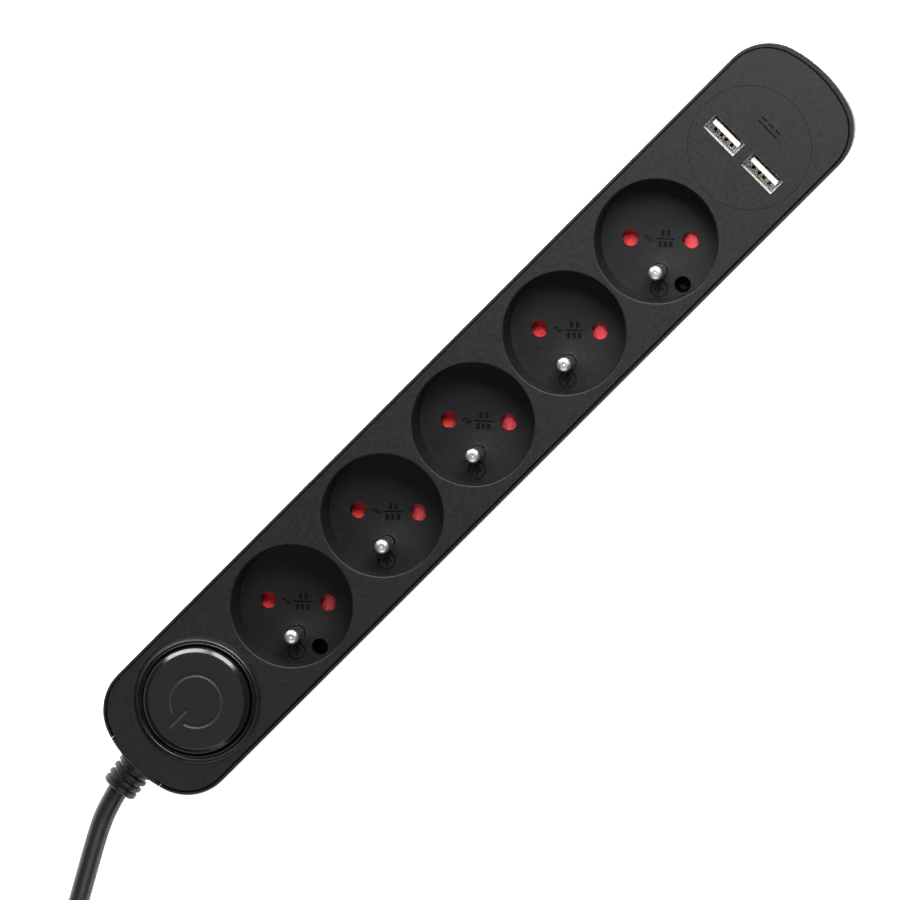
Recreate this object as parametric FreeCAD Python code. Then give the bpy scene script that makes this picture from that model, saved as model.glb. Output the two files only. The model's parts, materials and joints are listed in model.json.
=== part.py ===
import FreeCAD, Part

import math
import os

# Five-way power strip with earth pins, a round push switch and a two-port USB charger.
# Millimetres. +X runs from the cord end to the USB end, +Z is up.
# The origin is the centre of the casing's underside.

V = FreeCAD.Vector
UP = V(0, 0, 1)

# ---------------------------------------------------------------- driving dimensions
LENGTH = 308.0            # casing, end to end
WIDTH = 46.9              # casing, side to side
HEIGHT = 38.0             # casing, underside to top face
CORNER_RADIUS = 16.0
END_RADIUS = 41.0         # the ends bulge on this radius
DRAFT = 1.2               # the walls lean in by this much from top to bottom
USB_END_LEAN = 1.6        # the USB end leans in by this much more
FOOT_CHAMFER = 1.2
WALL = 2.2
FLOOR = 2.2

COVER_THICKNESS = 2.2
RIM = 0.9                 # the tub's rim, seen around the cover
RIM_EXTRA_AT_USB = 0.6    # the rim is wider at the USB end
GROOVE = 0.35             # gap between the rim and the cover
FLAP_WIDTH = 21.0         # the cover's flap over the cord inlet
FLAP_THICKNESS = 2.3

SOCKET_PITCH = 40.5
SOCKET_XS = [-82.0 + SOCKET_PITCH * i for i in range(5)]
SCREWED_SOCKETS = [0, 4]  # the sockets whose floors hold a cover screw
HOLE_LINE_ANGLE = -47.0   # the contact holes' line, turned about +Z from +X
WELL_DEPTH = 15.0
WELL_MOUTH_RADIUS = 19.25
WELL_FLOOR_RADIUS = 18.7
WELL_OUTER_RADIUS = 20.3
WELL_FLOOR_THICKNESS = 1.8
CONTACT_SPACING = 19.0
CONTACT_HOLE_RADIUS = 2.6
EARTH_OFFSET = 10.0       # earth pin to contact line
EARTH_PIN_RADIUS = 2.4
EARTH_PIN_HEIGHT = 14.0
ENGRAVING = 0.4

SWITCH_X = -124.2
BEZEL_RADIUS = 20.15
BUTTON_RADIUS = 16.85
BUTTON_PROUD = 3.5
BUTTON_TRAVEL = 3.0

USB_X = 121.0
USB_FACE_RADIUS = 19.2
USB_FACE_THICKNESS = 1.6
PORT_Y = 8.3              # port centres either side of the middle
PORT_X = -2.8
PORT_OPENING = (5.5, 12.9)

SHUTTER_TRAVEL = 6.0
SHUTTER_HALF_WIDTH = 3.6
SHUTTER_LOW = 16.5
SHUTTER_HIGH = 20.9

CORD_DIAMETER = 6.6
CORD_Z = 15.0             # height of the cord inlet
RELIEF_LENGTH = 12.8      # strain relief outside the casing
RELIEF_TURN = 6.5         # degrees that the strain relief leans to -Y

KEYHOLE_XS = (-63.75, 57.75)
KEYHOLE_RADIUS = 4.2
KEYHOLE_SLOT_RADIUS = 2.2
KEYHOLE_SLOT_RUN = 6.0

# ---------------------------------------------------------------- derived levels
TOP = HEIGHT
COVER_UNDER = TOP - COVER_THICKNESS
WELL_FLOOR_Z = TOP - WELL_DEPTH
WELL_UNDER = WELL_FLOOR_Z - WELL_FLOOR_THICKNESS
CASING_END = LENGTH / 2
CORD_RADIUS = CORD_DIAMETER / 2


# ---------------------------------------------------------------- shape helpers
def box(x0, x1, y0, y1, z0, z1):
    return Part.makeBox(x1 - x0, y1 - y0, z1 - z0, V(x0, y0, z0))


def rod(radius, z0, z1, x=0.0, y=0.0):
    return Part.makeCylinder(radius, z1 - z0, V(x, y, z0), UP)


def rod_x(radius, x0, x1, y=0.0, z=0.0):
    return Part.makeCylinder(radius, x1 - x0, V(x0, y, z), V(1, 0, 0))


def joined(shapes):
    first, *rest = shapes
    return first.multiFuse(rest).removeSplitter() if rest else first


def turned(profile, x=0.0, y=0.0):
    """A solid of revolution about a vertical axis, from (radius, z) corners."""
    points = [V(r, 0, z) for r, z in profile]
    face = Part.Face(Part.makePolygon(points + points[:1]))
    solid = face.revolve(V(0, 0, 0), UP, 360)
    solid.translate(V(x, y, 0))
    return solid


def quarter_round(radius_at, z_at, size, start, end, steps=4):
    """(radius, z) corners along an arc about (radius_at, z_at), angles in degrees."""
    angles = [math.radians(start + (end - start) * i / steps) for i in range(steps + 1)]
    return [(radius_at + size * math.cos(a), z_at + size * math.sin(a)) for a in angles]


def at_socket(shape, socket_x):
    """Put a shape made about a socket's own axes (holes along x) into the strip."""
    placed = shape.copy()
    placed.rotate(V(0, 0, 0), UP, HOLE_LINE_ANGLE)
    placed.translate(V(socket_x, 0, 0))
    return placed


def outline(inset, z, shorter_at_usb=0.0):
    """The casing's outline, moved in by inset: straight sides, round corners, bulged ends."""
    half = WIDTH / 2 - inset
    corner = CORNER_RADIUS - inset
    bulge = END_RADIUS - inset
    corner_y = half - corner
    corner_run = math.sqrt((bulge - corner) ** 2 - corner_y ** 2)
    ends = {1: CASING_END - inset - shorter_at_usb, -1: -(CASING_END - inset)}
    lean = math.atan2(corner_y, corner_run)
    middle = (lean + math.pi / 2) / 2

    def corner_point(sx, sy, angle):
        centre_x = ends[sx] - sx * bulge + sx * corner_run
        x = centre_x + sx * corner * math.cos(angle)
        return V(x, sy * (corner_y + corner * math.sin(angle)), z)

    side, half_way, end = math.pi / 2, middle, lean
    edges = []
    for sx, first in ((1, -1), (-1, 1)):
        second = -first
        edges += [
            Part.LineSegment(corner_point(-sx, first, side), corner_point(sx, first, side)),
            Part.Arc(*[corner_point(sx, first, a) for a in (side, half_way, end)]),
            Part.Arc(corner_point(sx, first, end), V(ends[sx], 0, z), corner_point(sx, second, end)),
            Part.Arc(*[corner_point(sx, second, a) for a in (end, half_way, side)]),
        ]
    return Part.Wire([edge.toShape() for edge in edges])


def stacked(sections):
    """A solid through a stack of outlines, straight from each to the next."""
    return Part.makeLoft(sections, True, True)


def inset_at(z):
    """How far the leaning wall stands in at height z."""
    return DRAFT * (1 - z / HEIGHT)


def usb_lean_at(z):
    """How much further the USB end stands in at height z."""
    return USB_END_LEAN * (1 - z / HEIGHT)


def tube_along(points, radius):
    """A round tube on straight runs joined by tangent arcs, and the arcs' radii."""
    corners = [V(*p) for p in points]
    edges = []
    radii = []
    start = corners[0]
    for before, here, after in zip(corners, corners[1:], corners[2:]):
        into = here - before
        out = after - here
        turn = into.getAngle(out)
        shorter = min(into.Length, out.Length)
        cut = 0.45 * shorter
        into.normalize()
        out.normalize()
        arc_start = here - into * cut
        arc_end = here + out * cut
        arc_radius = cut / math.tan(turn / 2)
        to_centre = out - into
        to_centre.normalize()
        reach = arc_radius / math.cos(turn / 2) - arc_radius
        radii.append(round(arc_radius, 1))
        edges.append(Part.LineSegment(start, arc_start).toShape())
        edges.append(Part.Arc(arc_start, here + to_centre * reach, arc_end).toShape())
        start = arc_end
    edges.append(Part.LineSegment(start, corners[-1]).toShape())
    path = Part.Wire(edges)
    heading = corners[1] - corners[0]
    profile = Part.Wire([Part.makeCircle(radius, corners[0], heading)])
    tube = path.makePipeShell([profile], True, True)
    return tube, radii, path.Length


def coil_spring(coil_radius, wire_radius, length, turns):
    """A compression spring standing on the origin along +Z, its wire eight-sided."""
    pitch = (length - 2 * wire_radius) / turns
    helix = Part.makeHelix(pitch, pitch * turns, coil_radius)
    angles = [math.radians(45 * i) for i in range(8)]
    corners = [
        V(coil_radius + wire_radius * math.cos(a), 0, wire_radius * math.sin(a)) for a in angles
    ]
    profile = Part.makePolygon(corners + corners[:1])
    spring = Part.Wire(helix).makePipeShell([profile], True, True)
    spring.translate(V(0, 0, wire_radius))
    return spring


# ---------------------------------------------------------------- casing
def casing_body():
    """The casing's outer form, before it is hollowed."""
    sections = [
        outline(DRAFT + FOOT_CHAMFER, 0, usb_lean_at(0)),
        outline(inset_at(FOOT_CHAMFER), FOOT_CHAMFER, usb_lean_at(FOOT_CHAMFER)),
        outline(inset_at(TOP - 0.9), TOP - 0.9, usb_lean_at(TOP - 0.9)),
        outline(0.12, TOP - 0.35),
        outline(0.45, TOP),
    ]
    return stacked(sections)


def keyhole(x, z0, z1, widen=0.0):
    """A screw head's entry hole with a narrower slot running to +X."""
    slot_end = x + KEYHOLE_SLOT_RUN
    slot = KEYHOLE_SLOT_RADIUS + widen
    return joined([
        rod(KEYHOLE_RADIUS + widen, z0, z1, x),
        rod(slot, z0, z1, slot_end),
        box(x, slot_end, -slot, slot, z0, z1),
    ])


def screw_place(socket_x):
    """Where a cover screw stands in a socket."""
    place = V(7.3, -14.0, 0)
    turn = FreeCAD.Rotation(UP, HOLE_LINE_ANGLE)
    return turn.multVec(place) + V(socket_x, 0, 0)


CLAMP_X = (-148.0, -143.5)
CLAMP_HALF_WIDTH = 9.0
CLAMP_SCREW_Y = 6.4
BOARD_Z = (20.4, 22.0)
BOARD_POSTS = [(USB_X + dx, dy) for dx in (-12.0, 12.0) for dy in (-11.5, 11.5)]


def make_base_tub():
    body = casing_body()
    hollow = stacked([
        outline(inset_at(FLOOR) + WALL, FLOOR, usb_lean_at(FLOOR)),
        outline(inset_at(COVER_UNDER) + WALL, COVER_UNDER + 0.01, usb_lean_at(COVER_UNDER)),
    ])
    rim_hollow = stacked([
        outline(RIM, COVER_UNDER, RIM_EXTRA_AT_USB),
        outline(RIM, TOP + 1, RIM_EXTRA_AT_USB),
    ])
    inlet_half = FLAP_WIDTH / 2 + 0.2
    inlet = joined([
        box(-CASING_END - 5, -CASING_END + 6, -inlet_half, inlet_half, CORD_Z, TOP + 1),
        rod_x(5.1, -CASING_END - 5, -CASING_END + 6, 0, CORD_Z),
    ])
    tub = body.cut([hollow, rim_hollow, inlet])
    additions = []
    for x in KEYHOLE_XS:
        additions.append(box(x - 6, x + 10, -6.2, 6.2, FLOOR - 0.5, 7.0))
    for i in SCREWED_SOCKETS:
        place = screw_place(SOCKET_XS[i])
        additions.append(rod(3.6, FLOOR - 0.5, 13.3, place.x, place.y))
    additions.append(
        box(*CLAMP_X, -CLAMP_HALF_WIDTH, CLAMP_HALF_WIDTH, FLOOR - 0.5, CORD_Z - 1.0)
    )
    for x, y in BOARD_POSTS:
        additions.append(rod(2.2, FLOOR - 0.5, BOARD_Z[0], x, y))
    tub = tub.multiFuse(additions)
    cuts = [rod_x(CORD_RADIUS, CLAMP_X[0] - 1, CLAMP_X[1] + 1, 0, CORD_Z)]
    for x in KEYHOLE_XS:
        cuts.append(keyhole(x, -1, FLOOR + 0.1))
        cuts.append(box(x - 4.6, x + 8.6, -4.6, 4.6, FLOOR, 5.8))
    for i in SCREWED_SOCKETS:
        place = screw_place(SOCKET_XS[i])
        cuts.append(rod(1.5, 4.0, 14, place.x, place.y))
    for y in (-CLAMP_SCREW_Y, CLAMP_SCREW_Y):
        cuts.append(rod(1.3, 6.0, CORD_Z, sum(CLAMP_X) / 2, y))
    return tub.cut(cuts).removeSplitter()


def earth_sign():
    """The protective earth sign in a ring, as a cutter on the socket floor."""
    z0, z1 = WELL_FLOOR_Z - ENGRAVING, WELL_FLOOR_Z + 0.5
    ring = rod(2.8, z0, z1).cut(rod(2.4, z0, z1))
    stem = box(-0.2, 0.2, 0.0, 1.7, z0, z1)
    bars = [
        box(-half, half, -0.2 - drop, 0.2 - drop, z0, z1)
        for half, drop in ((1.5, 0.0), (1.0, 0.75), (0.5, 1.5))
    ]
    sign = joined([ring, stem, *bars])
    sign.rotate(V(0, 0, 0), UP, 180)
    sign.translate(V(0, -15.6, 0))
    return sign


def rating_marks():
    """A bar between two rows of blocks and an alternating-current wave, cut into the floor."""
    z0, z1 = WELL_FLOOR_Z - ENGRAVING, WELL_FLOOR_Z + 0.5
    bar = box(-1.5, 4.5, -0.2, 0.2, z0, z1)
    blocks = [box(x - 0.5, x + 0.5, 0.8, 2.6, z0, z1) for x in (0.6, 2.4)]
    blocks += [box(x - 0.5, x + 0.5, -2.6, -0.8, z0, z1) for x in (-0.2, 1.5, 3.2)]
    crest = rod(0.85, z0, z1, -4.4).cut([rod(0.4, z0, z1, -4.4), box(-6, -3, -1, 0, z0, z1)])
    trough = rod(0.85, z0, z1, -3.15).cut([rod(0.4, z0, z1, -3.15), box(-5, -2, 0, 1, z0, z1)])
    return [bar, *blocks, crest, trough]


def well_cutter():
    """The round recess that a plug goes into, with a softened mouth."""
    soft = 0.45
    mouth = quarter_round(WELL_MOUTH_RADIUS + soft, TOP - soft, soft, 180, 90)
    profile = [(0, WELL_FLOOR_Z), (WELL_FLOOR_RADIUS, WELL_FLOOR_Z)]
    profile += mouth
    profile += [(WELL_MOUTH_RADIUS + soft, TOP + 1), (0, TOP + 1)]
    return turned(profile)


def make_top_cover():
    edge = RIM + GROOVE
    soft = 0.3
    plate = stacked([
        outline(edge, COVER_UNDER, RIM_EXTRA_AT_USB),
        outline(edge, TOP - soft, RIM_EXTRA_AT_USB),
        outline(edge + soft, TOP, RIM_EXTRA_AT_USB),
    ])
    flap_inner = -CASING_END + FLAP_THICKNESS
    flap = casing_body().common(
        box(-CASING_END - 1, flap_inner, -FLAP_WIDTH / 2, FLAP_WIDTH / 2, CORD_Z + 0.1, TOP)
    )
    solids = [plate, flap]
    for x in SOCKET_XS:
        solids.append(rod(WELL_OUTER_RADIUS, WELL_UNDER, TOP - 1, x))
    solids.append(rod(20.9, TOP - 4, TOP - 1, SWITCH_X))
    solids.append(rod(20.9, TOP - 4, TOP - 1, USB_X))
    for i in SCREWED_SOCKETS:
        place = screw_place(SOCKET_XS[i])
        solids.append(rod(4.0, 13.5, WELL_UNDER + 0.5, place.x, place.y))
    cover = solids[0].multiFuse(solids[1:])

    cuts = [
        rod_x(5.1, -CASING_END - 5, -CASING_END + 6, 0, CORD_Z),
        rod(BEZEL_RADIUS + 0.1, TOP - 1.6, TOP + 1, SWITCH_X),
        rod(18.0, TOP - 5, TOP + 1, SWITCH_X),
        rod(USB_FACE_RADIUS + 0.12, TOP - USB_FACE_THICKNESS, TOP + 1, USB_X),
        rod(17.8, TOP - 5, TOP + 1, USB_X),
    ]
    for i, x in enumerate(SOCKET_XS):
        through = (WELL_UNDER - 1, WELL_FLOOR_Z + 1)
        floor_cuts = [
            rod(CONTACT_HOLE_RADIUS, *through, side * CONTACT_SPACING / 2) for side in (-1, 1)
        ]
        floor_cuts.append(rod(EARTH_PIN_RADIUS + 0.2, *through, 0, -EARTH_OFFSET))
        floor_cuts.append(earth_sign())
        floor_cuts += rating_marks()
        floor_cuts.append(well_cutter())
        cuts += [at_socket(cutter, x) for cutter in floor_cuts]
        if i in SCREWED_SOCKETS:
            place = screw_place(x)
            cuts.append(rod(2.6, 15.0, WELL_FLOOR_Z + 0.5, place.x, place.y))
            cuts.append(rod(1.7, 13.0, 15.5, place.x, place.y))
    return cover.cut(cuts).removeSplitter()


def cross_screw(head_radius, head_z, shank_radius, tip_z, x, y):
    """A pan-head screw with a cross recess, head up."""
    crown = turned([
        (0, head_z), (head_radius, head_z), (head_radius, head_z + 1.2),
        (head_radius - 0.7, head_z + 1.9), (0, head_z + 2.1),
    ])
    shank = turned([
        (0, tip_z), (shank_radius, tip_z + 1.6), (shank_radius, head_z + 0.1), (0, head_z + 0.1),
    ])
    arm = head_radius * 0.62
    recess = joined([
        box(-arm, arm, -0.35, 0.35, head_z + 0.9, head_z + 3),
        box(-0.35, 0.35, -arm, arm, head_z + 0.9, head_z + 3),
    ])
    recess.rotate(V(0, 0, 0), UP, 25)
    screw = joined([crown, shank]).cut(recess)
    screw.translate(V(x, y, 0))
    return screw


def make_cover_screws():
    places = [screw_place(SOCKET_XS[i]) for i in SCREWED_SOCKETS]
    return Part.Compound([cross_screw(2.4, 15.0, 1.4, 4.3, p.x, p.y) for p in places])


# ---------------------------------------------------------------- sockets
def make_earth_pin():
    """Bullet-nosed earth pin, with a collar under the floor and a riveted foot."""
    tip = WELL_FLOOR_Z + EARTH_PIN_HEIGHT
    nose = 1.5
    collar = WELL_UNDER
    profile = [
        (0, 13.6), (2.3, 13.6), (2.3, 14.4), (1.8, 14.4), (1.8, 19.6),
        (3.5, 19.6), (3.5, collar), (EARTH_PIN_RADIUS, collar),
    ]
    profile += quarter_round(EARTH_PIN_RADIUS - nose, tip - nose, nose, 0, 90, 6)
    profile += [(0.45, tip), (0, tip - 0.45)]
    return turned(profile, 0, -EARTH_OFFSET)


def make_shutter():
    """The slider that closes both contact holes; plug pins push it along +x by its ramps."""
    half = SHUTTER_HALF_WIDTH
    low = SHUTTER_LOW + 0.8
    block = box(-19.0, 12.5, -half, half, SHUTTER_LOW, SHUTTER_HIGH)
    cuts = []
    for hole_x in (-CONTACT_SPACING / 2, CONTACT_SPACING / 2):
        window_x = hole_x - SHUTTER_TRAVEL
        start, end = window_x - 3.3, window_x + 3.3
        cuts.append(box(start, end, -2.9, 2.9, SHUTTER_LOW - 1, SHUTTER_HIGH + 1))
    flat_start = -CONTACT_SPACING / 2 - 2.7
    flat_end = flat_start + 6.2
    flat_ramp = Part.Face(Part.makePolygon([
        V(flat_start, -2.9, low), V(flat_end, -2.9, SHUTTER_HIGH),
        V(flat_start, -2.9, SHUTTER_HIGH), V(flat_start, -2.9, low),
    ]))
    cuts.append(flat_ramp.extrude(V(0, 5.8, 0)))
    round_radius = SHUTTER_HIGH - low
    round_start = CONTACT_SPACING / 2 - 2.7
    round_block = box(round_start, 12.5, -2.9, 2.9, low, SHUTTER_HIGH)
    nose = Part.makeCylinder(
        round_radius, 5.8, V(round_start + round_radius - 0.6, -2.9, low), V(0, 1, 0)
    )
    cuts.append(round_block.cut(nose))
    return block.cut(cuts)


def make_shutter_guide():
    """The open channel under a socket floor that holds the shutter and its spring."""
    channel = box(-20.2, 21.3, -5.1, 5.1, 15.2, WELL_UNDER)
    cuts = [box(-19.3, 20.5, -3.9, 3.9, 16.2, WELL_UNDER + 1)]
    for side in (-1, 1):
        cuts.append(rod(2.9, 15, 17, side * CONTACT_SPACING / 2))
    return channel.cut(cuts)


def make_shutter_spring():
    spring = coil_spring(1.6, 0.2, 7.8, 7)
    spring.rotate(V(0, 0, 0), V(0, 1, 0), 90)
    spring.translate(V(12.6, 0, 18.7))
    return spring


BAR_X = (-100.0, 98.0)
BAR_Z = (4.5, 11.0)
BAR_Y = 9.65
BAR_THICKNESS = 0.6
CLIP_HALF_LENGTH = 4.0


def live_bar(side):
    """A contact bar with a clip for one plug pin in each socket; side is +1 or -1 in y."""
    turn = math.radians(HOLE_LINE_ANGLE)
    hole_x = -side * CONTACT_SPACING / 2 * math.cos(turn)
    low, high = sorted((side * BAR_Y, side * (BAR_Y + BAR_THICKNESS)))
    solids = [box(*BAR_X, low, high, *BAR_Z)]
    leaf_out = side * 4.25
    leaf_in = side * 3.65
    leaf_low, leaf_high = sorted((leaf_in, leaf_out))
    web_low, web_high = sorted((leaf_in, side * BAR_Y))
    for socket_x in SOCKET_XS:
        clip_x = socket_x + hole_x
        start, end = clip_x - CLIP_HALF_LENGTH, clip_x + CLIP_HALF_LENGTH
        solids.append(box(start, end, leaf_low, leaf_high, *BAR_Z))
        solids.append(box(end - BAR_THICKNESS, end, web_low, web_high, *BAR_Z))
    return joined(solids)


def make_earth_bar():
    """The earth strip, with a tab riveted to each earth pin."""
    turn = FreeCAD.Rotation(UP, HOLE_LINE_ANGLE)
    offset = turn.multVec(V(0, -EARTH_OFFSET, 0))
    solids = [box(*BAR_X, -1.3, -0.7, 10.5, 15.0)]
    holes = []
    for socket_x in SOCKET_XS:
        pin_x = socket_x + offset.x
        solids.append(box(pin_x - 3.2, pin_x + 3.2, offset.y - 3.0, -0.7, 14.4, 15.0))
        holes.append(rod(1.8, 14, 16, pin_x, offset.y))
    return joined(solids).cut(holes)


# ---------------------------------------------------------------- switch
def make_switch_bezel():
    """The raised ring around the button, with a collar that guides it."""
    seat = TOP - 1.6
    crest = TOP + 1.15
    outer_ridge = [(19.4, TOP + 0.6), (19.0, TOP + 1.0), (18.7, crest), (18.5, TOP + 1.05)]
    inner_ridge = [(18.05, TOP + 1.05), (17.8, crest), (17.5, TOP + 1.0), (17.25, TOP + 0.6)]
    profile = [(17.85, seat), (BEZEL_RADIUS, seat), (BEZEL_RADIUS, TOP - 0.05), (19.75, TOP + 0.05)]
    profile += outer_ridge + [(18.25, TOP + 0.8)] + inner_ridge
    profile += [(17.25, TOP - 7), (17.85, TOP - 7)]
    return turned(profile, SWITCH_X)


def power_sign(top):
    """Grooves with sloping sides for a power sign; its ring opens towards the cord."""
    z0, z1 = top - 0.4, top + 1.0
    ring = turned([(7.95, z0), (8.35, z0), (8.8, top), (8.8, z1), (7.5, z1), (7.5, top)])
    gap = 17.0
    reach = 12.0
    wedge = Part.Face(Part.makePolygon([
        V(0, 0, z0),
        V(-reach, -reach * math.tan(math.radians(gap)), z0),
        V(-reach, reach * math.tan(math.radians(gap)), z0),
        V(0, 0, z0),
    ])).extrude(V(0, 0, z1 - z0))
    bar_section = [(-0.2, z0), (0.2, z0), (0.65, top), (0.65, z1), (-0.65, z1), (-0.65, top)]
    corners = [V(-12.2, y, z) for y, z in bar_section]
    bar = Part.Face(Part.makePolygon(corners + corners[:1])).extrude(V(8.2, 0, 0))
    return [ring.cut(wedge), bar]


def make_power_button():
    """The round button: domed cap, skirt with a retaining lip, and plunger."""
    top = TOP + BUTTON_PROUD
    cap_under = top - 2.0
    lip_top = TOP - 7.3
    outer = [(BUTTON_RADIUS, lip_top), (BUTTON_RADIUS, top - 1.3)]
    bevel = [(16.7, top - 0.95), (16.4, top - 0.7), (15.35, top - 0.08), (15.1, top)]
    lip = [(15.2, lip_top - 1.3), (18.1, lip_top - 1.3), (18.1, lip_top)]
    profile = lip + outer + bevel + [(0, top), (0, 19.3), (3.0, 19.3), (3.0, cap_under), (15.2, cap_under)]
    button = turned(profile)
    button = button.cut(power_sign(top))
    button.translate(V(SWITCH_X, 0, 0))
    return button


SWITCH_BODY = (SWITCH_X - 12.0, SWITCH_X + 12.0, -10.0, 10.0, FLOOR, 22.0)
TERMINAL_X = 7.0


def make_switch_terminals():
    """Two fixed contacts, each with a tail out of the switch's side."""
    solids = []
    for side in (-1, 1):
        x = SWITCH_X + side * TERMINAL_X
        shelf = box(x - 2, x + 2, -2, 13, 14.2, 15.0)
        point = rod(1.2, 15.0, 15.3, x)
        solids.append(joined([shelf, point]))
    return solids


def make_switch_body():
    x0, x1, y0, y1, z0, z1 = SWITCH_BODY
    wall = 1.5
    body = box(*SWITCH_BODY)
    cavity = box(x0 + wall, x1 - wall, y0 + wall, y1 - wall, z0 + wall, z1 - wall)
    plunger_hole = rod(3.4, z1 - 2, z1 + 1, SWITCH_X)
    return body.cut([cavity, plunger_hole, *make_switch_terminals()])


def make_switch_bridge():
    """The moving contact on the plunger's foot."""
    return box(SWITCH_X - 9, SWITCH_X + 9, -2.2, 2.2, 18.6, 19.3)


def make_button_spring():
    spring = coil_spring(5.2, 0.35, 17.3, 8)
    spring.translate(V(SWITCH_X, 0, 22.05))
    return spring


# ---------------------------------------------------------------- USB charger
def port_box(cx, cy, size_x, size_y, z0, z1):
    return box(cx - size_x / 2, cx + size_x / 2, cy - size_y / 2, cy + size_y / 2, z0, z1)


PORTS = [(USB_X + PORT_X, PORT_Y), (USB_X + PORT_X, -PORT_Y)]
SHELL_TOP = TOP - 0.9
SHELL_OUTER = (5.9, 13.3)
SHELL_INNER = (5.2, 12.6)
TONGUE_X = 0.85           # the tongue stands off the port's middle
TONGUE_THICKNESS = 1.5
TONGUE_TOP = TOP - 1.8
PORT_FLOOR = TOP - 9.0
CONTACT_YS = (-3.5, -1.0, 1.0, 3.5)


def direct_current_sign():
    """A line over three dashes, as on any direct-current outlet."""
    z0, z1 = TOP - 0.4, TOP + 1
    x = USB_X + 7.6
    line = box(x, x + 0.6, -4.0, 4.0, z0, z1)
    dashes = [box(x + 1.6, x + 2.2, y - 1.0, y + 1.0, z0, z1) for y in (-3.0, 0, 3.0)]
    return [line, *dashes]


def make_usb_faceplate():
    plate = rod(USB_FACE_RADIUS, TOP - USB_FACE_THICKNESS, TOP, USB_X)
    collar = rod(17.4, TOP - 6, TOP - USB_FACE_THICKNESS, USB_X)
    collar = collar.cut(rod(15.8, TOP - 7, TOP - 3.0, USB_X))
    face = joined([plate, collar])
    cuts = direct_current_sign()
    for cx, cy in PORTS:
        cuts.append(port_box(cx, cy, *PORT_OPENING, TOP - 8, TOP + 1))
        pocket = [side + 0.2 for side in SHELL_OUTER]
        cuts.append(port_box(cx, cy, *pocket, TOP - 8, SHELL_TOP + 0.02))
    return face.cut(cuts)


def make_usb_shell(cx, cy):
    shell = port_box(cx, cy, *SHELL_OUTER, BOARD_Z[1], SHELL_TOP)
    return shell.cut(port_box(cx, cy, *SHELL_INNER, BOARD_Z[1] + 0.4, SHELL_TOP + 1))


def make_usb_tongue(cx, cy):
    """The tongue on its block, with a slot in the block in front of each contact."""
    tongue = port_box(cx + TONGUE_X, cy, TONGUE_THICKNESS, 10.8, PORT_FLOOR - 1, TONGUE_TOP)
    block_size = [side - 0.1 for side in SHELL_INNER]
    block = port_box(cx, cy, *block_size, BOARD_Z[1] + 0.4, PORT_FLOOR)
    face_x = cx + TONGUE_X - TONGUE_THICKNESS / 2
    slots = [
        port_box(face_x - 1.0, cy + y, 2.0, 1.1, PORT_FLOOR - 4, PORT_FLOOR + 1) for y in CONTACT_YS
    ]
    return joined([tongue, block]).cut(slots)


def make_usb_contacts():
    strips = []
    for cx, cy in PORTS:
        face_x = cx + TONGUE_X - TONGUE_THICKNESS / 2
        for y in CONTACT_YS:
            strip = port_box(face_x - 0.15, cy + y, 0.3, 1.0, PORT_FLOOR - 4, TONGUE_TOP - 0.5)
            strips.append(strip)
    return Part.Compound(strips)


def make_usb_board():
    return box(USB_X - 15, USB_X + 15, -15, 15, *BOARD_Z)


def make_usb_transformer():
    core = box(USB_X - 8, USB_X + 6, -6, 6, 9.5, BOARD_Z[0])
    winding = box(USB_X - 5, USB_X + 3, -8, 8, 11.0, 18.5)
    return joined([core, winding])


def make_usb_capacitors():
    cans = []
    for radius, low, x, y in ((3.2, 9.0, 10.5, 3.5), (2.5, 11.0, 10.5, -4.0), (2.5, 11.0, -11.5, 2.5)):
        can = rod(radius, low, BOARD_Z[0], USB_X + x, y)
        vent = rod(radius - 0.6, low - 0.5, low + 0.2, USB_X + x, y)
        cans.append(can.cut(vent))
    return Part.Compound(cans)


# ---------------------------------------------------------------- wiring
LEAD_RADIUS = 1.0
JACKET_END = -142.5

LEADS = {
    "line_lead": [
        (JACKET_END, 0.9, CORD_Z + 1.1), (-140.6, 0.9, 16.1), (-138.6, 4.0, 16.0),
        (-138.3, 9.0, 15.6), (-136.6, 12.6, 15.0), (-133.4, 14.6, 14.6), (-131.2, 14.1, 14.6),
    ],
    "neutral_lead": [
        (JACKET_END, -1.3, CORD_Z - 0.4), (-140.6, -1.3, 14.6), (-138.5, -4.8, 13.6),
        (-138.4, -10.2, 11.2), (-134.6, -13.8, 8.6), (-121.0, -14.6, 7.6),
        (-109.0, -12.6, 7.7), (-101.1, -10.0, 7.75),
    ],
    "earth_lead": [
        (JACKET_END, 1.2, CORD_Z - 1.3), (-140.6, 1.2, 13.7), (-138.5, 4.8, 12.0),
        (-138.5, 10.4, 9.0), (-134.6, 14.0, 6.4), (-121.0, 14.6, 5.6), (-110.8, 12.2, 6.8),
        (-106.0, 5.0, 10.4), (-101.1, -1.0, 12.75),
    ],
    "switched_lead": [
        (-117.2, 14.1, 14.6), (-112.0, 15.2, 12.8), (-107.0, 13.4, 9.6), (-101.1, 10.0, 7.75),
    ],
    "usb_line_lead": [
        (99.1, 9.95, 7.75), (102.6, 9.6, 8.6), (105.6, 8.4, 11.4), (108.2, 7.0, 14.8),
        (109.8, 6.8, 17.6), (109.8, 6.8, 20.3),
    ],
    "usb_neutral_lead": [
        (99.1, -9.95, 7.75), (102.6, -9.6, 8.6), (105.6, -8.4, 11.4), (108.2, -7.0, 14.8),
        (109.8, -6.8, 17.6), (109.8, -6.8, 20.3),
    ],
}


def make_lead(points):
    tube, _, _ = tube_along(points, LEAD_RADIUS)
    return tube


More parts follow.
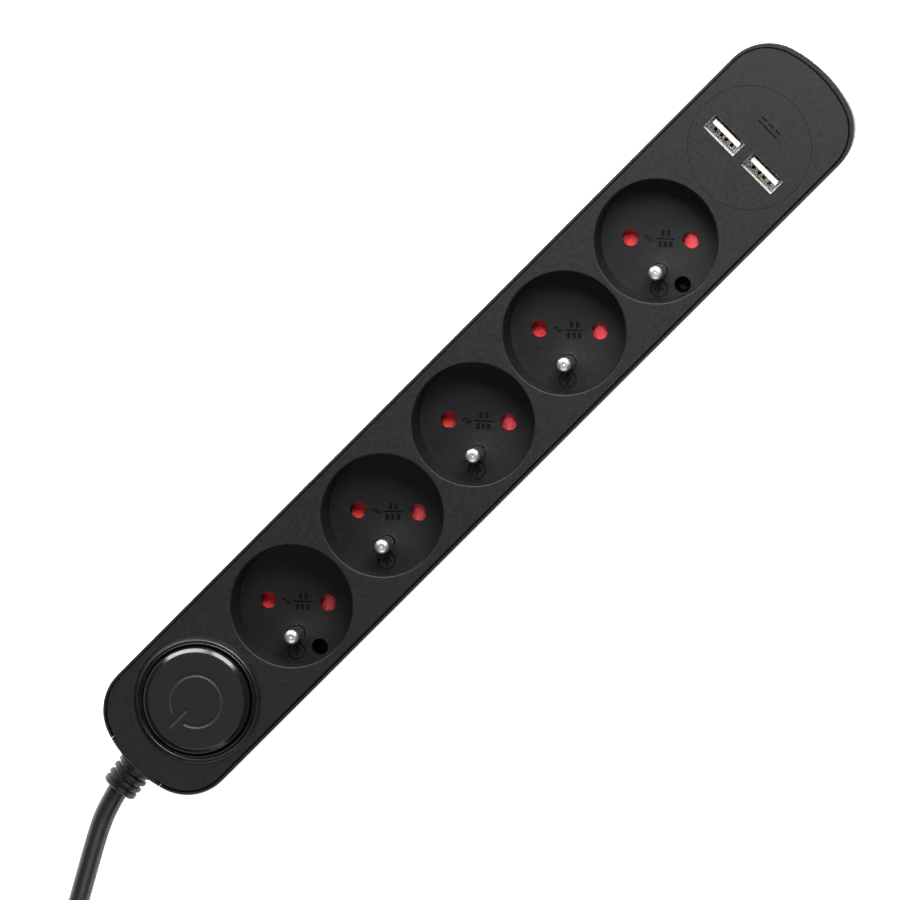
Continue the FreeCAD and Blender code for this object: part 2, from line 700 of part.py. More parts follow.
def make_cord_clamp():
    """The saddle that holds the cord's jacket down on the tub's post."""
    low = CORD_Z + 1.0
    saddle = box(*CLAMP_X, -CLAMP_HALF_WIDTH, CLAMP_HALF_WIDTH, low, CORD_Z + 5.2)
    cuts = [rod_x(CORD_RADIUS, CLAMP_X[0] - 1, CLAMP_X[1] + 1, 0, CORD_Z)]
    for y in (-CLAMP_SCREW_Y, CLAMP_SCREW_Y):
        cuts.append(rod(1.5, low - 1, TOP, sum(CLAMP_X) / 2, y))
    return saddle.cut(cuts)


def make_clamp_screws():
    x = sum(CLAMP_X) / 2
    return Part.Compound([
        cross_screw(2.2, CORD_Z + 5.2, 1.2, 7.0, x, y) for y in (-CLAMP_SCREW_Y, CLAMP_SCREW_Y)
    ])


# ---------------------------------------------------------------- cord
RELIEF_INNER_X = -148.9


def ring_profile():
    """(radius, distance) corners of the strain relief outside the casing: rings and end flange."""
    core = 4.9
    profile = [(0, -1.0), (core, -1.0)]
    for start, radius in ((0.6, 5.9), (3.2, 5.95), (5.8, 5.95), (8.4, 5.9)):
        end = start + 1.5
        profile += [
            (core, start), (radius - 0.4, start), (radius, start + 0.3),
            (radius, end - 0.3), (radius - 0.4, end), (core, end),
        ]
    flange = 5.8
    flange_start = RELIEF_LENGTH - 2.2
    profile += [
        (core, flange_start), (flange - 0.4, flange_start), (flange, flange_start + 0.3),
        (flange, RELIEF_LENGTH - 0.5), (flange - 0.5, RELIEF_LENGTH), (0, RELIEF_LENGTH),
    ]
    return profile


def make_strain_relief():
    """Ribbed rubber relief, leaning to -Y, with a neck in the wall and a flange inside it."""
    outside = turned(ring_profile())
    outside.rotate(V(0, 0, 0), V(0, 1, 0), -90)
    outside.rotate(V(0, 0, 0), UP, RELIEF_TURN)
    outside.translate(V(-CASING_END, 0, CORD_Z))
    neck = rod_x(5.0, -CASING_END - 0.5, RELIEF_INNER_X, 0, CORD_Z)
    flange = rod_x(6.6, RELIEF_INNER_X - 1.2, RELIEF_INNER_X, 0, CORD_Z)
    return joined([outside, neck, flange])


def relief_face():
    """The middle of the strain relief's outer face, where the cord leaves the object."""
    lean = math.radians(RELIEF_TURN)
    return (
        -CASING_END - RELIEF_LENGTH * math.cos(lean),
        -RELIEF_LENGTH * math.sin(lean),
        CORD_Z,
    )


def make_cord_jacket_end():
    """The stretch of cord held inside the casing."""
    return rod_x(CORD_RADIUS, RELIEF_INNER_X, JACKET_END, 0, CORD_Z)


# The free cord: a loose run from the strain relief, then a tied hank in line with the strip.
HANK_RUN = 116.0          # straight part of the hank's turns
HANK_RIGHT_X = -262.0     # where the straights meet the folds nearer the strip
HANK_Y = -2.3
LANE_RADII = (20.4, 27.1)
LAYER_ZS = (4.2, 10.9)
TIE_THICKNESS = 0.8
TIE_WIDTH = 12.0

LEAD_ROUTE = [
    relief_face(),
    (-173.0, -3.0, 14.95),
    (-180.4, -6.0, 14.2),
    (-192.4, -12.2, 11.4),
    (-208.0, -20.4, 7.4),
    (-226.0, -27.0, 5.0),
    (-244.0, -29.4, 4.25),
    (-262.0, -29.4, 4.2),
]

PLUG_PITCH = 6.0          # degrees that the plug's axis rises from tail to face
PLUG_TAIL = (-309.0, HANK_Y, 18.4)
PLUG_TAIL_RUN = 10.8

TAIL_ROUTE = [
    (-377.6, 24.8, 11.6),
    (-368.8, 24.0, 13.9),
    (-358.2, 20.2, 17.2),
    (-349.0, 13.7, 18.4),
    (-340.5, 6.4, 18.2),
    (-330.6, 0.7, 17.7),
    (
        PLUG_TAIL[0] - PLUG_TAIL_RUN * math.cos(math.radians(PLUG_PITCH)),
        PLUG_TAIL[1],
        PLUG_TAIL[2] - PLUG_TAIL_RUN * math.sin(math.radians(PLUG_PITCH)),
    ),
    PLUG_TAIL,
]


def racetrack(radius, z0, z1):
    left = HANK_RIGHT_X - HANK_RUN
    return joined([
        rod(radius, z0, z1, HANK_RIGHT_X, HANK_Y),
        rod(radius, z0, z1, left, HANK_Y),
        box(left, HANK_RIGHT_X, HANK_Y - radius, HANK_Y + radius, z0, z1),
    ])


def make_cord_hank():
    """The outer form of the wound hank."""
    z0 = LAYER_ZS[0] - CORD_RADIUS
    z1 = LAYER_ZS[1] + CORD_RADIUS
    outer = racetrack(LANE_RADII[1] + CORD_RADIUS, z0, z1)
    return outer.cut(racetrack(LANE_RADII[0] - CORD_RADIUS, z0 - 1, z1 + 1))


def make_cord_tie():
    """The strap around the hank's far end."""
    half = LANE_RADII[1] + CORD_RADIUS
    top = LAYER_ZS[1] + CORD_RADIUS
    low = LAYER_ZS[0] - CORD_RADIUS
    x1 = HANK_RIGHT_X - HANK_RUN - 1.0
    x0 = x1 - TIE_WIDTH
    t = TIE_THICKNESS
    strap = box(x0, x1, HANK_Y - half - t, HANK_Y + half + t, low - t, top + t)
    return strap.cut(box(x0 - 1, x1 + 1, HANK_Y - half, HANK_Y + half, low, top))


PLUG_FACE = 54.0          # tail to face
PLUG_RADIUS = 18.3


def plug_placed(shape):
    """Lay a plug piece, made with its axis up from the tail, between the hank's runs."""
    placed = shape.copy()
    placed.rotate(V(0, 0, 0), UP, 180)
    placed.rotate(V(0, 0, 0), V(0, 1, 0), 90 - PLUG_PITCH)
    placed.translate(V(*PLUG_TAIL))
    return placed


CLIP_START = 44.0         # the earth clips' rear ends, from the tail
CLIP_SEAT = 16.6          # the clips' seats, from the plug's axis


def make_plug_body():
    """Moulded plug: ribbed tail, flared grip and round front with earth clip seats."""
    profile = [(0, 0), (4.8, 0), (5.2, 0.6)]
    for start in (2.5, 6.0, 9.5, 13.0):
        rib = 5.3 + 0.06 * start
        profile += [(rib, start), (4.5, start + 0.3), (4.5, start + 1.5), (rib + 0.1, start + 1.8)]
    grip_start, grip_end, tail_radius = 19.0, 46.0, 6.5
    for i in range(13):
        share = i / 12
        swell = share * share * (3 - 2 * share)
        radius = tail_radius + (PLUG_RADIUS - tail_radius) * swell
        profile.append((radius, grip_start + (grip_end - grip_start) * share))
    profile += quarter_round(PLUG_RADIUS - 1.0, PLUG_FACE - 1.0, 1.0, 0, 90)
    profile += [(0, PLUG_FACE)]
    body = turned(profile)
    cuts = [rod(2.7, PLUG_FACE - 16, PLUG_FACE + 1, EARTH_OFFSET, 0)]
    for side in (-1, 1):
        low, high = sorted((side * CLIP_SEAT, side * 20.0))
        cuts.append(box(low, high, -4.0, 4.0, CLIP_START - 0.5, PLUG_FACE + 1))
    return plug_placed(body.cut(cuts))


def make_plug_pins():
    pins = []
    for side in (-1, 1):
        y = side * CONTACT_SPACING / 2
        tip = PLUG_FACE + 19.0
        profile = [(0, PLUG_FACE), (2.4, PLUG_FACE)]
        profile += quarter_round(1.2, tip - 1.2, 1.2, 0, 90)
        profile += [(0, tip)]
        pins.append(turned(profile, 0, y))
    return plug_placed(Part.Compound(pins))


def make_plug_earth_clips():
    clips = []
    for side in (-1, 1):
        low, high = sorted((side * CLIP_SEAT, side * (CLIP_SEAT + 0.7)))
        clips.append(box(low, high, -3.0, 3.0, CLIP_START, PLUG_FACE - 0.4))
    return plug_placed(Part.Compound(clips))


# ---------------------------------------------------------------- build
def save(name, shape):
    shape.exportStep(f"parts/{name}.step")


def build():
    os.makedirs("parts", exist_ok=True)
    save("base_tub", make_base_tub())
    save("top_cover", make_top_cover())
    save("cover_screws", make_cover_screws())

    per_socket = {
        "earth_pin": make_earth_pin(),
        "shutter": make_shutter(),
        "shutter_guide": make_shutter_guide(),
        "shutter_spring": make_shutter_spring(),
    }
    for number, socket_x in enumerate(SOCKET_XS, start=1):
        for name, shape in per_socket.items():
            save(f"{name}_{number}", at_socket(shape, socket_x))
    save("line_bar", live_bar(1))
    save("neutral_bar", live_bar(-1))
    save("earth_bar", make_earth_bar())

    save("switch_bezel", make_switch_bezel())
    save("power_button", make_power_button())
    save("switch_body", make_switch_body())
    save("switch_terminals", Part.Compound(make_switch_terminals()))
    save("switch_bridge", make_switch_bridge())
    save("button_spring", make_button_spring())

    save("usb_faceplate", make_usb_faceplate())
    for letter, place in zip("ab", PORTS):
        save(f"usb_shell_{letter}", make_usb_shell(*place))
        save(f"usb_tongue_{letter}", make_usb_tongue(*place))
    save("usb_contacts", make_usb_contacts())
    save("usb_board", make_usb_board())
    save("usb_transformer", make_usb_transformer())
    save("usb_capacitors", make_usb_capacitors())

    for name, points in LEADS.items():
        save(name, make_lead(points))
    save("cord_clamp", make_cord_clamp())
    save("clamp_screws", make_clamp_screws())

    save("strain_relief", make_strain_relief())
    save("cord_jacket_end", make_cord_jacket_end())
    for name, route in (("cord_lead", LEAD_ROUTE), ("cord_tail", TAIL_ROUTE)):
        tube, radii, run = tube_along(route, CORD_RADIUS)
        section = math.pi * CORD_RADIUS ** 2
        print(f"{name}: arc radii {radii} mm, {run:.1f} mm long, "
              f"volume {tube.Volume:.0f} of {section * run:.0f} mm3")
        save(name, tube)
    save("cord_hank", make_cord_hank())
    save("cord_tie", make_cord_tie())
    save("plug_body", make_plug_body())
    save("plug_pins", make_plug_pins())
    save("plug_earth_clips", make_plug_earth_clips())


build()
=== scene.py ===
import json
import math

import bpy
from mathutils import Matrix, Vector


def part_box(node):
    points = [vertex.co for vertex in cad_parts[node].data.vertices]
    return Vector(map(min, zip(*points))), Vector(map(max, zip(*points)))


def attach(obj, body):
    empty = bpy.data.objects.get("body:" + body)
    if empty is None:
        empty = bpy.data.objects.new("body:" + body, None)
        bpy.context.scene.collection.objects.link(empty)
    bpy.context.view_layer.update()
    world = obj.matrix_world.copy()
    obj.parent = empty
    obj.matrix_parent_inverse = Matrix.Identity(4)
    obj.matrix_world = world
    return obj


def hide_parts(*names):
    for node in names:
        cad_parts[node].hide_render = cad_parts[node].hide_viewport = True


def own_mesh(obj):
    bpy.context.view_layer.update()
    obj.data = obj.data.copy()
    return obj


# Black power strip on a white table, seen from above. Metres, in the CAD frame:
# +X runs from the cord end to the USB end, +Z is up, and the table is z = 0.
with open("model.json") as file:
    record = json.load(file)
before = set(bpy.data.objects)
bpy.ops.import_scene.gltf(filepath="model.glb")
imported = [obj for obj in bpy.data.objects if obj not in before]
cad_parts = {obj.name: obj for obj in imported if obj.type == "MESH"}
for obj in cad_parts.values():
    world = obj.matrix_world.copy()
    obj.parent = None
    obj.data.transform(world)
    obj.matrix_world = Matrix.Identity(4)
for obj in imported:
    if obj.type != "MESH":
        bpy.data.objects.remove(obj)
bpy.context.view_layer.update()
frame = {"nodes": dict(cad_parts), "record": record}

MM = 0.001
BODY = "casing"           # everything that no joint moves
NODES = frame["nodes"]


# ---------------------------------------------------------------- camera
CAMERA_PLACE = (0.3446, -0.0863, 2.538)
CAMERA_TARGET = (-0.0118, -0.0006, 0.038)
CAMERA_LENS = 324.6       # millimetres, on a sensor 36 mm wide
CAMERA_ROLL = 45.13       # degrees from +Y to the picture's upward direction, towards +X


def make_camera():
    """A long lens over the table, leaning from the USB end, with the strip on the diagonal."""
    data = bpy.data.cameras.new("camera")
    data.lens = CAMERA_LENS
    data.sensor_width = 36.0
    data.clip_end = 20.0
    camera = bpy.data.objects.new("camera", data)
    bpy.context.scene.collection.objects.link(camera)
    back = (Vector(CAMERA_PLACE) - Vector(CAMERA_TARGET)).normalized()
    roll = math.radians(CAMERA_ROLL)
    upward = Vector((math.sin(roll), math.cos(roll), 0.0))
    right = upward.cross(back).normalized()
    up = back.cross(right)
    turn = Matrix((right, up, back)).transposed().to_4x4()
    camera.matrix_world = Matrix.Translation(CAMERA_PLACE) @ turn
    bpy.context.scene.camera = camera


# ---------------------------------------------------------------- table and light
DOME_HORIZON = 0.85
DOME_ZENITH = 0.02
DOME_TURN = 0.30          # sine of the height above which the dome is as dim as overhead
TABLE_GLOW = 0.85         # the table is a light table, so shadows stay faint
TABLE_SIDE = 30.0


def make_floor():
    """A white light table, far wider than any view."""
    half = TABLE_SIDE / 2
    mesh = bpy.data.meshes.new("floor")
    corners = [(-half, -half, 0), (half, -half, 0), (half, half, 0), (-half, half, 0)]
    mesh.from_pydata(corners, [], [(0, 1, 2, 3)])
    floor = bpy.data.objects.new("floor", mesh)
    bpy.context.scene.collection.objects.link(floor)
    paper = bpy.data.materials.new("white_paper")
    paper.use_nodes = True
    shader = paper.node_tree.nodes["Principled BSDF"]
    shader.inputs["Base Color"].default_value = (0.95, 0.95, 0.95, 1)
    shader.inputs["Roughness"].default_value = 0.9
    shader.inputs["Specular IOR Level"].default_value = 0.1
    shader.inputs["Emission Color"].default_value = (1, 1, 1, 1)
    shader.inputs["Emission Strength"].default_value = TABLE_GLOW
    mesh.materials.append(paper)


def add_softbox(name, place, target, size, power):
    """A rectangular lamp of that power in watts, aimed at target."""
    data = bpy.data.lights.new(name, "AREA")
    data.shape = "RECTANGLE"
    data.size, data.size_y = size
    data.energy = power
    light = bpy.data.objects.new(name, data)
    bpy.context.scene.collection.objects.link(light)
    light.location = place
    aim = Vector(target) - Vector(place)
    light.rotation_euler = aim.to_track_quat("-Z", "Y").to_euler()


def light_the_studio():
    """A soft key past the USB end, a strip along the far side, a weak fill and the dome."""
    add_softbox("key", (0.42, 0.16, 0.52), (0.0, 0.0, 0.02), (0.35, 0.35), 6.0)
    add_softbox("far_strip", (0.16, 0.58, 0.43), (-0.12, 0.0, 0.04), (0.7, 0.16), 6.0)
    add_softbox("fill", (-0.60, -0.50, 0.80), (0.0, 0.0, 0.0), (0.8, 0.8), 3.0)
    make_dome()
    bpy.context.scene.view_settings.view_transform = "Standard"


def make_dome():
    """White surroundings, bright at the horizon and dim overhead."""
    world = bpy.data.worlds.new("studio")
    world.use_nodes = True
    nodes = world.node_tree.nodes
    links = world.node_tree.links
    direction = nodes.new("ShaderNodeTexCoord").outputs["Generated"]
    split = nodes.new("ShaderNodeSeparateXYZ")
    fade = nodes.new("ShaderNodeMapRange")
    fade.interpolation_type = "SMOOTHSTEP"
    fade.inputs["From Min"].default_value = 0.0
    fade.inputs["From Max"].default_value = DOME_TURN
    fade.inputs["To Min"].default_value = DOME_HORIZON
    fade.inputs["To Max"].default_value = DOME_ZENITH
    nodes["Background"].inputs["Color"].default_value = (1, 1, 1, 1)
    links.new(direction, split.inputs["Vector"])
    links.new(split.outputs["Z"], fade.inputs["Value"])
    links.new(fade.outputs["Result"], nodes["Background"].inputs["Strength"])
    bpy.context.scene.world = world


# ---------------------------------------------------------------- material helpers
GRAIN = 0.45 * MM         # size of the fine grain on moulded surfaces
PATCH_CONTRAST = 1.35     # how many times lighter their light patches are
MARK_EDGE = 0.04 * MM     # engraved marks change their finish this far below the surface
MARK_GLOSS = 0.6          # their roughness, as a share of the surface's


class Finish:
    """A procedural material in object space, in metres."""

    def __init__(self, name, colour, roughness, metallic=0.0, specular=0.5):
        self.material = bpy.data.materials.new(name)
        self.material.use_nodes = True
        self.nodes = self.material.node_tree.nodes
        self.links = self.material.node_tree.links
        self.shader = self.nodes["Principled BSDF"]
        self.place = self.nodes.new("ShaderNodeTexCoord").outputs["Object"]
        self.set("Base Color", (*colour, 1))
        self.set("Roughness", roughness)
        self.set("Metallic", metallic)
        self.set("Specular IOR Level", specular)

    def set(self, socket, value):
        """One value for the whole surface."""
        self.shader.inputs[socket].default_value = value

    def noise(self, size, detail=2.0):
        """Noise whose blotches are about size metres wide."""
        node = self.nodes.new("ShaderNodeTexNoise")
        node.inputs["Scale"].default_value = 1.0 / size
        node.inputs["Detail"].default_value = detail
        self.links.new(self.place, node.inputs["Vector"])
        return node.outputs["Fac"]

    def ranged(self, value, low, high, from_low=0.3, from_high=0.7):
        """Low to high as value goes from from_low to from_high; noise mostly stays in 0.3 to 0.7."""
        node = self.nodes.new("ShaderNodeMapRange")
        node.inputs["From Min"].default_value = from_low
        node.inputs["From Max"].default_value = from_high
        node.inputs["To Min"].default_value = low
        node.inputs["To Max"].default_value = high
        self.links.new(value, node.inputs["Value"])
        return node.outputs["Result"]

    def bands(self, direction, spacing):
        """Sine bands that far apart along X, or along the sum of X, Y and Z if DIAGONAL."""
        node = self.nodes.new("ShaderNodeTexWave")
        node.bands_direction = direction
        radians_per_metre = 20 if direction == "X" else 10     # at a scale of 1
        node.inputs["Scale"].default_value = math.tau / (radians_per_metre * spacing)
        self.links.new(self.place, node.inputs["Vector"])
        return node.outputs["Fac"]

    def times(self, first, second):
        """The product of two outputs."""
        node = self.nodes.new("ShaderNodeMath")
        node.operation = "MULTIPLY"
        self.links.new(first, node.inputs[0])
        self.links.new(second, node.inputs[1])
        return node.outputs["Value"]

    def by_height(self, below, above, height, fade=0.05 * MM):
        """One value below a height and another above it, with a short fade just below it."""
        split = self.nodes.new("ShaderNodeSeparateXYZ")
        self.links.new(self.place, split.inputs["Vector"])
        return self.ranged(split.outputs["Z"], below, above, height - fade, height)

    def mottle(self, size, low, high, surface=None):
        """Roughness that wanders between low and high; marks cut into that surface are smoother."""
        roughness = self.ranged(self.noise(size), low, high)
        if surface is not None:
            roughness = self.times(roughness, self.by_height(MARK_GLOSS, 1.0, surface - MARK_EDGE))
        self.links.new(roughness, self.shader.inputs["Roughness"])

    def blend_colours(self, factor, first, second):
        """A base colour that goes from the first to the second as factor goes from 0 to 1."""
        mix = self.nodes.new("ShaderNodeMix")
        mix.data_type = "RGBA"
        mix.inputs["A"].default_value = (*first, 1)
        mix.inputs["B"].default_value = (*second, 1)
        self.links.new(factor, mix.inputs["Factor"])
        self.links.new(mix.outputs["Result"], self.shader.inputs["Base Color"])

    def tint(self, size, dark, light):
        """A base colour that wanders between two close tones."""
        self.blend_colours(self.ranged(self.noise(size), 0.0, 1.0), dark, light)

    def bump(self, height, depth):
        """Relief that deep, where height goes from 0 to 1."""
        node = self.nodes.new("ShaderNodeBump")
        node.inputs["Distance"].default_value = depth
        self.links.new(height, node.inputs["Height"])
        self.links.new(node.outputs["Normal"], self.shader.inputs["Normal"])


def spark_textured(name, colour, roughness, surface=None):
    """Moulded plastic from a spark-eroded tool: satin, with a fine even grain."""
    finish = Finish(name, colour, roughness, specular=0.42)
    lighter = [part * PATCH_CONTRAST for part in colour]
    finish.tint(0.9 * MM, colour, lighter)
    finish.mottle(1.2 * MM, roughness - 0.06, roughness + 0.06, surface)
    finish.bump(finish.noise(GRAIN, detail=3.0), 0.02 * MM)
    return finish.material


def smooth_plastic(name, colour, roughness, depth=0.004 * MM):
    """Polished or satin plastic or rubber with a faint ripple and handling marks."""
    finish = Finish(name, colour, roughness)
    finish.mottle(4.0 * MM, roughness - 0.05, roughness + 0.05)
    finish.bump(finish.noise(1.5 * MM), depth)
    return finish.material


def plated_metal(name, colour, roughness):
    """Plated or rolled sheet metal with a slightly uneven polish."""
    finish = Finish(name, colour, roughness, metallic=1.0)
    finish.mottle(1.2 * MM, roughness - 0.06, roughness + 0.08)
    finish.bump(finish.noise(0.5 * MM), 0.003 * MM)
    return finish.material


def woven_strap():
    """Black nylon webbing: ribs along the strap, crossed by a slanting weave."""
    finish = Finish("tie_fabric", (0.012, 0.012, 0.012), 0.85)
    ribs = finish.bands("X", 1.1 * MM)
    weave = finish.times(ribs, finish.bands("DIAGONAL", 0.8 * MM))
    finish.links.new(finish.ranged(weave, 0.95, 0.6, 0.0, 1.0), finish.shader.inputs["Roughness"])
    finish.blend_colours(weave, (0.006, 0.006, 0.006), (0.022, 0.022, 0.022))
    finish.bump(weave, 0.15 * MM)
    return finish.material


BLACK = (0.0042, 0.0042, 0.0044)
BUTTON_BLACK = (0.0075, 0.0075, 0.0078)
# painted sheen: the sign on the button is painted this paler grey for the light its groove catches
PAINTED_SIGN_SHEEN = (0.024, 0.024, 0.025)

WELL_FLOOR = 23.0 * MM    # height of the sockets' floors
TOP_FACE = 38.0 * MM      # height of the cover and the charger face
NOSE_LEVEL = 35.9 * MM    # where an earth pin's nose has begun to round off
SHAFT_ROUGHNESS = 0.10
NOSE_ROUGHNESS = 0.38

SWITCH_X = -124.2 * MM
BUTTON_FACE = 41.5 * MM
FACE_RADIUS = 15.1 * MM   # where the button's face meets its bevel
FACE_ROUGHNESS = 0.42
BEVEL_ROUGHNESS = 0.16
BEVEL_FADE = 0.2 * MM


def nickel_pin():
    """Nickel plate, polished along the shaft and duller on the blasted nose above NOSE_LEVEL."""
    finish = Finish("nickel_plate", (0.92, 0.91, 0.89), 0.36, metallic=1.0)
    roughness = finish.by_height(SHAFT_ROUGHNESS, NOSE_ROUGHNESS, NOSE_LEVEL, fade=0.3 * MM)
    finish.links.new(roughness, finish.shader.inputs["Roughness"])
    finish.bump(finish.noise(0.5 * MM), 0.001 * MM)
    return finish.material


def radius_from_button(finish):
    """How far a point of that finish is from the button's upright axis."""
    offset = finish.nodes.new("ShaderNodeVectorMath")
    offset.operation = "SUBTRACT"
    offset.inputs[1].default_value = (SWITCH_X, 0.0, 0.0)
    finish.links.new(finish.place, offset.inputs[0])
    flat = finish.nodes.new("ShaderNodeVectorMath")
    flat.operation = "MULTIPLY"
    flat.inputs[1].default_value = (1.0, 1.0, 0.0)
    finish.links.new(offset.outputs["Vector"], flat.inputs[0])
    length = finish.nodes.new("ShaderNodeVectorMath")
    length.operation = "LENGTH"
    finish.links.new(flat.outputs["Vector"], length.inputs[0])
    return length.outputs["Value"]


def two_zone_button():
    """Fine satin face inside a polished bevel, with a sign cut into the face and painted paler: a
    painted sheen for the light its groove catches.
    """
    finish = Finish("button_plastic", BUTTON_BLACK, FACE_ROUGHNESS)
    radius = radius_from_button(finish)
    bevel_start, bevel_full = FACE_RADIUS, FACE_RADIUS + BEVEL_FADE
    roughness = finish.ranged(radius, FACE_ROUGHNESS, BEVEL_ROUGHNESS, bevel_start, bevel_full)
    finish.links.new(roughness, finish.shader.inputs["Roughness"])
    on_face = finish.ranged(radius, 1.0, 0.0, FACE_RADIUS - BEVEL_FADE, FACE_RADIUS)
    # painted sheen: the sign cut into the face gets the paler grey
    painted_sheen_mask = finish.times(on_face, finish.by_height(1.0, 0.0, BUTTON_FACE - MARK_EDGE))
    finish.blend_colours(painted_sheen_mask, BUTTON_BLACK, PAINTED_SIGN_SHEEN)
    finish.bump(finish.noise(GRAIN, detail=3.0), 0.006 * MM)
    return finish.material


MATERIALS = {
    "casing": spark_textured("casing_plastic", BLACK, 0.50),
    "cover": spark_textured("cover_plastic", BLACK, 0.50, surface=WELL_FLOOR),
    "usb_face": spark_textured("charger_face_plastic", BLACK, 0.50, surface=TOP_FACE),
    "bezel": smooth_plastic("bezel_plastic", BLACK, 0.36),
    "button": two_zone_button(),
    "relief": smooth_plastic("relief_rubber", (0.020, 0.020, 0.020), 0.38, 0.01 * MM),
    "cord": smooth_plastic("cord_jacket", (0.022, 0.022, 0.023), 0.34, 0.01 * MM),
    "plug": smooth_plastic("plug_plastic", (0.012, 0.012, 0.012), 0.45, 0.01 * MM),
    "tie": woven_strap(),
    "shutter": smooth_plastic("shutter_plastic", (1.0, 0.105, 0.120), 0.20, 0.001 * MM),
    "inner_plastic": smooth_plastic("inner_plastic", (0.62, 0.61, 0.57), 0.45),
    "port_tongue": smooth_plastic("tongue_plastic", (0.74, 0.74, 0.73), 0.45),
    "transformer": smooth_plastic("transformer_tape", (0.75, 0.55, 0.06), 0.40),
    "capacitor": smooth_plastic("capacitor_sleeve", (0.02, 0.02, 0.03), 0.30),
    "board": smooth_plastic("board_laminate", (0.03, 0.18, 0.06), 0.40),
    "brown_lead": smooth_plastic("brown_insulation", (0.16, 0.05, 0.02), 0.45),
    "blue_lead": smooth_plastic("blue_insulation", (0.02, 0.08, 0.45), 0.45),
    "earth_lead": smooth_plastic("earth_insulation", (0.22, 0.42, 0.03), 0.45),
    "nickel": nickel_pin(),
    "steel": plated_metal("zinc_steel", (0.62, 0.63, 0.65), 0.32),
    "black_screw": smooth_plastic("black_oxide_steel", (0.004, 0.004, 0.004), 0.45),
    "brass": plated_metal("brass_strip", (0.78, 0.58, 0.26), 0.30),
    "port_shell": smooth_plastic("tinned_steel", (0.68, 0.68, 0.68), 0.50, 0.0005 * MM),
    "gold": plated_metal("contact_gold", (0.75, 0.48, 0.16), 0.28),
}


def finish_cad_nodes():
    """Give every CAD node the finish of its slot in the record."""
    for part in frame["record"]["subparts"]:
        node = NODES[part["node"]]
        for slot in node.material_slots:
            slot.material = MATERIALS[part["material_slot"]]


# ---------------------------------------------------------------- springs
def make_spring(name):
    """A copy of a spring's mesh, riding with the casing in the place of its CAD solid."""
    source = NODES[name]
    spring = bpy.data.objects.new("moving_" + name, source.data.copy())
    bpy.context.scene.collection.objects.link(spring)
    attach(spring, BODY)
    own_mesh(spring)
    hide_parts(name)


def make_springs():
    """The springs that the record names as deforming with a joint."""
    for joint in frame["record"]["behaviour"]["joints"]:
        for deforming in joint["deforming_nodes"]:
            make_spring(deforming["node"])


# ---------------------------------------------------------------- strap
STRAP_THICKNESS = 0.8 * MM
STRAP_CORNER = 3.8 * MM   # outside radius where the strap turns round the hank's outer cords
CORNER_STEPS = 8
EDGE_STEPS = 6


def strap_loop(low, high):
    """The strap's middle line round the hank, with the outward direction at each point."""
    loop = []
    for corner, (side_y, side_z) in enumerate(((1, 1), (-1, 1), (-1, -1), (1, -1))):
        centre_y = (high.y if side_y > 0 else low.y) - side_y * STRAP_CORNER
        centre_z = (high.z if side_z > 0 else low.z) - side_z * STRAP_CORNER
        for i in range(CORNER_STEPS + 1):
            angle = math.radians(90 * (corner + i / CORNER_STEPS))
            out = Vector((0.0, math.cos(angle), math.sin(angle)))
            middle = Vector((0.0, centre_y, centre_z)) + out * (STRAP_CORNER - STRAP_THICKNESS / 2)
            loop.append((middle, out))
    return loop


def strap_section(width):
    """A flat section with round edges, as steps across the strap and outwards."""
    half = STRAP_THICKNESS / 2
    section = []
    for side in (0, 1):
        edge = (width / 2 - half) * (1 - 2 * side)
        for i in range(EDGE_STEPS + 1):
            angle = math.radians(180 * (side + i / EDGE_STEPS) - 90)
            section.append((edge + half * math.cos(angle), half * math.sin(angle)))
    return section


def make_strap():
    """The woven strap that ties the hank, in the place of its CAD solid."""
    low, high = (Vector(corner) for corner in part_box("cord_tie"))
    loop = strap_loop(low, high)
    section = strap_section(high.x - low.x)
    middle_x = (low.x + high.x) / 2
    vertices = []
    for middle, out in loop:
        for across, outward in section:
            vertices.append(middle + out * outward + Vector((middle_x + across, 0.0, 0.0)))
    faces = []
    count = len(section)
    for i in range(len(loop)):
        here, following = i * count, (i + 1) % len(loop) * count
        for j in range(count):
            after = (j + 1) % count
            faces.append((here + j, here + after, following + after, following + j))
    mesh = bpy.data.meshes.new("cable_strap")
    mesh.from_pydata(vertices, [], faces)
    mesh.shade_smooth()
    mesh.materials.append(MATERIALS["tie"])
    strap = bpy.data.objects.new("cable_strap", mesh)
    bpy.context.scene.collection.objects.link(strap)
    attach(strap, BODY)
    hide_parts("cord_tie")
    return strap


# ---------------------------------------------------------------- cord
CORD_DIAMETER = 6.6 * MM

# from the strain relief's end, down to the table, to the hank's first run
LEAD_ROUTE = [
    (-0.1667177, -0.0014490, 0.0150),
    (-0.1730, -0.0030, 0.01495),
    (-0.1804, -0.0060, 0.0142),
    (-0.1924, -0.0122, 0.0114),
    (-0.2080, -0.0204, 0.0074),
    (-0.2260, -0.0270, 0.0050),
    (-0.2440, -0.0294, 0.00425),
    (-0.2620, -0.0294, 0.0042),
]

# from the hank's last fold, over its runs, to the plug between them
TAIL_ROUTE = [
    (-0.3776, 0.0248, 0.0116),
    (-0.3688, 0.0240, 0.0139),
    (-0.3582, 0.0202, 0.0172),
    (-0.3490, 0.0137, 0.0184),
    (-0.3405, 0.0064, 0.0182),
    (-0.3306, 0.0007, 0.0177),
    (-0.3197408, -0.0023, 0.0172711),
    (-0.3090, -0.0023, 0.0184),
]

HANK_RIGHT_X = -0.2620    # where the straight runs meet the folds nearer the strip
HANK_RUN = 0.116
HANK_Y = -0.0023
OUTER_LANE, INNER_LANE = 0.0271, 0.0204      # from the hank's middle line to its cords' middles
LOWER_LAYER, UPPER_LAYER = 0.0042, 0.0109    # heights of the cords' middles
FOLD_STEP = 30            # degrees between a fold's control points
FOLD_SWELL = 1.035        # a quadratic spline runs inside its points by this much in a fold


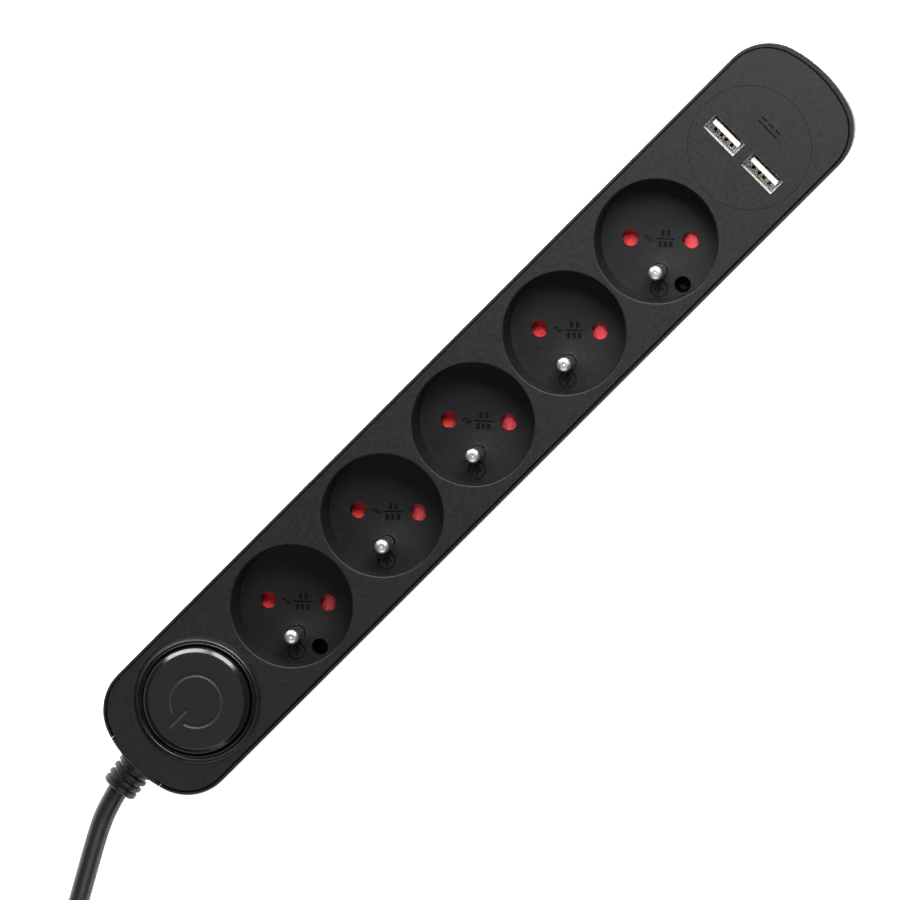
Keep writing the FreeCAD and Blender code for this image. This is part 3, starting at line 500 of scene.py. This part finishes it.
def fold_points(x, start, end, start_angle):
    """A half-turn clockwise about (x, HANK_Y), from lane and layer start to lane and layer end."""
    points = []
    steps = 180 // FOLD_STEP
    for i in range(steps):
        share = (i + 0.5) / steps
        eased = share * share * (3 - 2 * share)
        lane = start[0] + (end[0] - start[0]) * eased
        z = start[1] + (end[1] - start[1]) * eased
        angle = math.radians(start_angle - 180 * share)
        radius = lane * FOLD_SWELL
        points.append((x + radius * math.cos(angle), HANK_Y + radius * math.sin(angle), z))
    return points


def run_points(y, z, x_start, x_end):
    """A straight run's points, clear of the folds at its ends."""
    steps = 4
    return [(x_start + (x_end - x_start) * (i + 0.5) / steps, y, z) for i in range(steps)]


def hank_points():
    """Three and a half turns: outer then inner lane below, then inner and outer above."""
    lower_outer = (OUTER_LANE, LOWER_LAYER)
    lower_inner = (INNER_LANE, LOWER_LAYER)
    upper_inner = (INNER_LANE, UPPER_LAYER)
    upper_outer = (OUTER_LANE, UPPER_LAYER)
    left = HANK_RIGHT_X - HANK_RUN
    points = []
    for here, following in (
        (lower_outer, lower_inner),
        (lower_inner, upper_inner),
        (upper_inner, upper_outer),
    ):
        lane, z = here
        points += run_points(HANK_Y - lane, z, HANK_RIGHT_X, left)
        points += fold_points(left, here, here, 270)
        points += run_points(HANK_Y + lane, z, left, HANK_RIGHT_X)
        points += fold_points(HANK_RIGHT_X, here, following, 90)
    points += run_points(HANK_Y - OUTER_LANE, UPPER_LAYER, HANK_RIGHT_X, left)
    points += fold_points(left, upper_outer, upper_outer, 270)
    return points


def make_cord(strap):
    """The whole mains lead as one spline: loose run, hank, and up to the plug."""
    points = LEAD_ROUTE + hank_points() + TAIL_ROUTE
    curve = bpy.data.curves.new("mains_cord", "CURVE")
    curve.dimensions = "3D"
    curve.bevel_depth = CORD_DIAMETER / 2
    curve.bevel_resolution = 6
    curve.resolution_u = 6
    curve.use_fill_caps = True
    spline = curve.splines.new("NURBS")
    spline.points.add(len(points) - 1)
    for place, point in zip(points, spline.points):
        point.co = (*place, 1)
    spline.order_u = 3
    spline.use_endpoint_u = True
    curve.materials.append(MATERIALS["cord"])
    cord = bpy.data.objects.new("mains_cord", curve)
    bpy.context.scene.collection.objects.link(cord)
    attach(cord, BODY)
    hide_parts("cord_lead", "cord_hank", "cord_tail")


# ---------------------------------------------------------------- build
make_camera()
make_cord(make_strap())
make_floor()
light_the_studio()
finish_cad_nodes()
make_springs()
